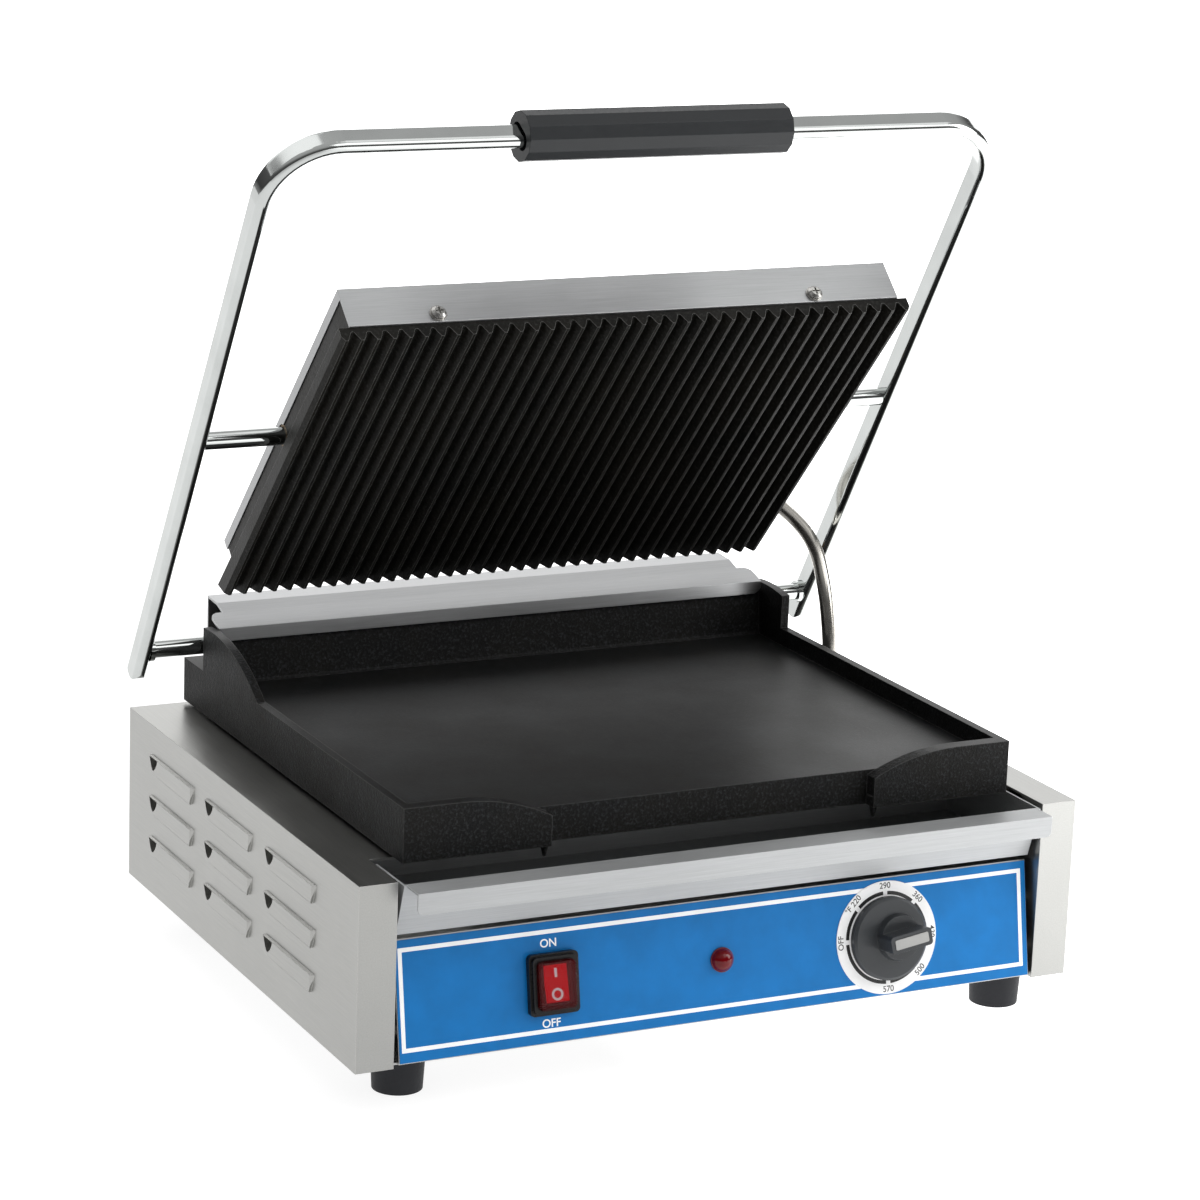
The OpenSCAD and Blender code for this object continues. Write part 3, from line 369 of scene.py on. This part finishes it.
def lettering(name, text, height, look, matrix, weight):
    """Raised print of a plain word or number, centred on its place.

    The height is that of its capitals, and the weight thickens its strokes by that part of it.
    """
    curve = bpy.data.curves.new(name, "FONT")
    curve.body = text
    curve.size = height / CAPITAL_PART
    curve.offset = weight * height
    curve.extrude = PRINT / 2
    curve.align_x = "CENTER"
    curve.align_y = "CENTER"
    writer = bpy.data.objects.new(name + "_curve", curve)
    bpy.context.scene.collection.objects.link(writer)
    bpy.context.view_layer.update()
    mesh = bpy.data.meshes.new_from_object(writer.evaluated_get(bpy.context.evaluated_depsgraph_get()))
    bpy.data.objects.remove(writer)
    return piece(name, mesh, look, matrix)


# The panel's own frame: X along it, Y up its slope, Z out of its face
PANEL_LEAN = math.radians(10.0)
ROCKER_TILT = math.radians(7.0)
ROCKER_AXLE = 1.0 * MM
WINDOW_THICK = 1.4 * MM
WINDOW_FACE = 5.5 * MM
PRINT = 0.08 * MM
INK = 0.04 * MM
INK_SUNK = 0.01 * MM
CAPITAL_PART = 0.73
WORD_HEIGHT = 4.4 * MM
MARK_HEIGHT = 3.3 * MM
FILM = 0.5 * MM
ROW = 31.5 * MM
DIAL_SHEET = 0.6 * MM
dial_low, dial_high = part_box("dial_plate")
dial_centre = (dial_low + dial_high) / 2
dial_x = dial_centre.x
panel_turn = Matrix.Rotation(math.radians(90.0) - PANEL_LEAN, 4, "X")
panel_origin = dial_centre - panel_turn @ Vector((dial_x, ROW, FILM + DIAL_SHEET / 2))


def on_panel(x, up, out, turn=0.0):
    place = Matrix.Translation(panel_origin) @ panel_turn @ Matrix.Translation((x, up, out))
    return place @ Matrix.Rotation(math.radians(turn), 4, "Z")


# The white border of the blue film, by its outer sides and the middles of its long lines
LINE = 2.2 * MM
BORDER_LEFT = -184.6 * MM
BORDER_RIGHT = 183.0 * MM
BORDER_TOP = 58.2 * MM
BORDER_FOOT = 6.8 * MM
border = piece("border_lines", solid([
    bar(BORDER_LEFT, BORDER_RIGHT, BORDER_TOP - LINE / 2, BORDER_TOP + LINE / 2),
    bar(BORDER_LEFT, BORDER_RIGHT, BORDER_FOOT - LINE / 2, BORDER_FOOT + LINE / 2),
    bar(BORDER_LEFT, BORDER_LEFT + LINE, BORDER_FOOT + LINE / 2, BORDER_TOP - LINE / 2),
    bar(BORDER_RIGHT - LINE, BORDER_RIGHT, BORDER_FOOT + LINE / 2, BORDER_TOP - LINE / 2)], INK),
    "white_print_painted_glow", on_panel(0.0, 0.0, FILM - INK_SUNK))
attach(border, "base")

switch_low, switch_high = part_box("switch_body")
switch_x = (switch_low.x + switch_high.x) / 2
for name, text, up in (("word_on", "ON", 52.1 * MM), ("word_off", "OFF", 10.5 * MM)):
    word = lettering(name, text, WORD_HEIGHT, "white_print_painted_glow", on_panel(switch_x - 1.0 * MM, up, FILM), 0.02)
    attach(word, "base")

# The lit window of the rocker and its two signs, on the slope of the rocker at rest
on_rocker = on_panel(switch_x, ROW, ROCKER_AXLE) @ Matrix.Rotation(-ROCKER_TILT, 4, "X")
window_plate = solid([bar(-6.4 * MM, 6.4 * MM, -9.6 * MM, 9.6 * MM)], WINDOW_THICK)
window = piece("rocker_window", window_plate, "rocker",
               on_rocker @ Matrix.Translation((0.0, 0.0, WINDOW_FACE - WINDOW_THICK)))
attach(window, "rocker")
stroke = solid([bar(-0.7 * MM, 0.7 * MM, 3.2 * MM, 7.8 * MM)], PRINT)
sign_bar = piece("rocker_on_sign", stroke, "rocker_print",
                 on_rocker @ Matrix.Translation((0.0, 0.0, WINDOW_FACE)))
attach(sign_bar, "rocker")
ring = [arc_band(2.0 * MM, 3.2 * MM, start, start + 90.0) for start in (0.0, 90.0, 180.0, 270.0)]
sign_ring = piece("rocker_off_sign", solid(ring, PRINT), "rocker_print",
                  on_rocker @ Matrix.Translation((0.0, -5.6 * MM, WINDOW_FACE)))
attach(sign_ring, "rocker")

# Dial print: a black band broken at each mark, with the marks' names outside it
DIAL_R = 30.5 * MM
BAND = (0.755 * DIAL_R, 0.82 * DIAL_R)
MARK_R = 0.915 * DIAL_R
MARKS = (("OFF", 180.0), ("\u00b0F 220", 135.0), ("290", 90.0), ("360", 45.0), ("430", 0.0), ("500", -45.0),
         ("570", -90.0))
GAP = 3.0
MARK_STEP = 45.0
dial_face = FILM + DIAL_SHEET
band_starts = [-90.0 + MARK_STEP * i for i in range(6)]
band_spans = [(start, start + MARK_STEP) for start in band_starts] + [(180.0, 270.0)]
bands = [arc_band(*BAND, start + GAP, end - GAP) for start, end in band_spans]
band = piece("dial_band", solid(bands, INK), "black_print", on_panel(dial_x, ROW, dial_face - INK_SUNK))
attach(band, "base")
for index, (text, angle) in enumerate(MARKS):
    # Heads out on the upper marks and in on the lower ones, so that all read from the front
    upright = Matrix.Rotation(math.radians(90.0 if angle < 0.0 else -90.0), 4, "Z")
    spoke = on_panel(dial_x, ROW, dial_face, angle) @ Matrix.Translation((MARK_R, 0.0, 0.0))
    mark = lettering(f"dial_mark_{index}", text, MARK_HEIGHT, "black_print", spoke @ upright, 0.01)
    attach(mark, "base")


# The flexible conduit, as one smooth tube in two lengths that meet above the hinge
def smooth_path(points, steps):
    """A curve through the points, rounded between them."""
    points = [Vector(p) for p in points]
    ends = [2 * points[0] - points[1], *points, 2 * points[-1] - points[-2]]
    path = []
    for before, start, end, after in zip(ends, ends[1:], ends[2:], ends[3:]):
        for i in range(steps):
            t = i / steps
            path.append(0.5 * (2 * start + (end - before) * t
                               + (2 * before - 5 * start + 4 * end - after) * t * t
                               + (3 * start - before - 3 * end + after) * t ** 3))
    return path + [points[-1]]


def tube(name, path, first, last, radius, look, sides=28):
    """A tube round the path from its point number first to last, its ends closed."""
    shape = bmesh.new()
    side = Vector((1.0, 0.0, 0.0))
    rings = []
    for i in range(first, last + 1):
        along = (path[min(i + 1, len(path) - 1)] - path[max(i - 1, 0)]).normalized()
        side = (side - along * side.dot(along)).normalized()
        up = along.cross(side)
        rings.append([shape.verts.new(path[i] + radius * (side * math.cos(a) + up * math.sin(a)))
                      for a in (2 * math.pi * k / sides for k in range(sides))])
    for lower, upper in zip(rings, rings[1:]):
        for k in range(sides):
            shape.faces.new((lower[k], lower[(k + 1) % sides], upper[(k + 1) % sides], upper[k]))
    shape.faces.new(reversed(rings[0]))
    shape.faces.new(rings[-1])
    mesh = bpy.data.meshes.new(name)
    shape.to_mesh(mesh)
    shape.free()
    return piece(name, mesh, look, smooth=True)


# The conduit's way, in millimetres in the shared frame: up to the joint above the hinge, then on to the cover
CONDUIT_R = 4.2 * MM
CONDUIT_RISE = ((195, 78, 134), (195, 78.5, 142), (195, 80.5, 154), (195, 83.5, 166), (195, 87, 177),
                (195, 92, 188), (195, 99, 199), (194, 109, 208.5), (191, 121, 216), (186, 133, 222.5),
                (178, 144, 229.5), (167.15, 151.1, 236.9))
CONDUIT_DROP = ((157, 154.5, 242.5), (147, 153.5, 246.5))
GLAND_OUT = 4.0 * MM
GLAND_LEAD = 7.0 * MM
PATH_STEPS = 6
gland_low, gland_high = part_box("cover_gland")
PLATEN_OPEN = math.radians(47.5)
out_of_cover = Vector((0.0, math.sin(PLATEN_OPEN), math.cos(PLATEN_OPEN)))
gland_mouth = (gland_low + gland_high) / 2 + out_of_cover * GLAND_OUT
way = smooth_path([*(Vector(p) * MM for p in CONDUIT_RISE + CONDUIT_DROP),
                   gland_mouth + out_of_cover * GLAND_LEAD, gland_mouth], PATH_STEPS)
joint = (len(CONDUIT_RISE) - 1) * PATH_STEPS
conduit_rise = tube("conduit_rise", way, 0, joint, CONDUIT_R, "conduit")
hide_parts("conduit_lower")
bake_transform(conduit_rise)
conduit_drop = tube("conduit_drop", way, joint, len(way) - 1, CONDUIT_R, "conduit")
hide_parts("conduit_upper")
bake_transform(conduit_drop)


# ---- Camera and studio -------------------------------------------------------------------

CAMERA_PLACE = Vector((-0.93803, -1.85697, 0.7555))
CAMERA_AZIMUTH = math.radians(-26.8406)
CAMERA_ELEVATION = math.radians(14.6265)
CAMERA_ROLL = math.radians(2.1896)
CAMERA_LENS = 117.57


def towards(azimuth, elevation):
    """The way from the object to a camera or lamp, with azimuth 0 in front of the panel."""
    return Vector((math.sin(azimuth) * math.cos(elevation), -math.cos(azimuth) * math.cos(elevation),
                   math.sin(elevation)))


def aimed(place, azimuth, elevation, roll=0.0):
    """A camera or lamp matrix that looks back at the object from that direction."""
    back = towards(azimuth, elevation)
    level = (-back).cross(Vector((0, 0, 1))).normalized()
    upright = level.cross(-back)
    right = level * math.cos(roll) + upright * math.sin(roll)
    up = upright * math.cos(roll) - level * math.sin(roll)
    return Matrix.Translation(place) @ Matrix((right, up, back)).transposed().to_4x4()


camera = bpy.data.objects.new("camera", bpy.data.cameras.new("camera"))
camera.data.lens = CAMERA_LENS
camera.data.sensor_width = 36.0
camera.data.clip_end = 50.0
camera.matrix_world = aimed(CAMERA_PLACE, CAMERA_AZIMUTH, CAMERA_ELEVATION, CAMERA_ROLL)
bpy.context.scene.collection.objects.link(camera)
bpy.context.scene.camera = camera


def soft_box(name, azimuth, elevation, distance, width, height, watts):
    """A soft lamp aimed at the middle of the press, with its angles in degrees."""
    lamp = bpy.data.lights.new(name, "AREA")
    lamp.shape = "RECTANGLE"
    lamp.size, lamp.size_y = width, height
    lamp.energy = watts
    holder = bpy.data.objects.new(name, lamp)
    middle = (cad_low + cad_high) / 2
    azimuth, elevation = math.radians(azimuth), math.radians(elevation)
    holder.matrix_world = aimed(middle + towards(azimuth, elevation) * distance, azimuth, elevation)
    bpy.context.scene.collection.objects.link(holder)


soft_box("left_box", -148.0, 50.0, 2.4, 1.8, 2.4, 12.0)
soft_box("right_box", 62.0, 24.0, 2.4, 1.2, 1.5, 24.0)
soft_box("top_box", 76.0, 66.0, 2.2, 1.0, 1.0, 2.0)
soft_box("back_box", 162.0, 24.0, 2.6, 3.4, 1.7, 25.0)
soft_box("front_box", 27.0, 44.0, 2.4, 1.5, 1.3, 9.0)

# A dim room whose ceiling is bright, so that polished parts have something dark to mirror
world = bpy.data.worlds.new("studio")
bpy.context.scene.world = world
world.use_nodes = True
room = world.node_tree
direction = room.nodes.new("ShaderNodeTexCoord").outputs["Generated"]
height = room.nodes.new("ShaderNodeSeparateXYZ")
room.links.new(direction, height.inputs["Vector"])
ramp = room.nodes.new("ShaderNodeValToRGB")
room.links.new(height.outputs["Z"], ramp.inputs["Fac"])
for stop, (position, shade) in zip(ramp.color_ramp.elements, ((0.0, 0.25), (1.0, 0.6))):
    stop.position = position
    stop.color = (shade, shade, shade, 1.0)
for position, shade in ((0.06, 0.06), (0.35, 0.12), (0.6, 0.45)):
    stop = ramp.color_ramp.elements.new(position)
    stop.color = (shade, shade, shade, 1.0)
room.links.new(ramp.outputs["Color"], room.nodes["Background"].inputs["Color"])
room.nodes["Background"].inputs["Strength"].default_value = 1.0

bpy.context.scene.view_settings.view_transform = "Standard"

# White paper, which glows more to the right of the press and less far in front of it
FLOOR_HALF = 12.0
GLOW_RIGHT = (0.86, 2.4, -0.05, 0.55)
GLOW_FRONT = (0.7, 1.0, -1.5, -0.6)
floor_mesh = bpy.data.meshes.new("floor")
shape = bmesh.new()
bmesh.ops.create_grid(shape, x_segments=1, y_segments=1, size=FLOOR_HALF)
shape.to_mesh(floor_mesh)
shape.free()
floor = bpy.data.objects.new("floor", floor_mesh)
bpy.context.scene.collection.objects.link(floor)
paper = Look("floor_paper", (0.3, 0.3, 0.3), 0.9, Specular_IOR_Level=0.0)
paper.set("Emission Color", WHITE)
spot = paper.add("ShaderNodeSeparateXYZ", {"Vector": paper.coordinates})
across = paper.ranged(spot.outputs["X"], *GLOW_RIGHT)
along = paper.ranged(spot.outputs["Y"], *GLOW_FRONT)
paper.link(paper.math("MULTIPLY", across, along), "Emission Strength")
floor.data.materials.append(paper.material)
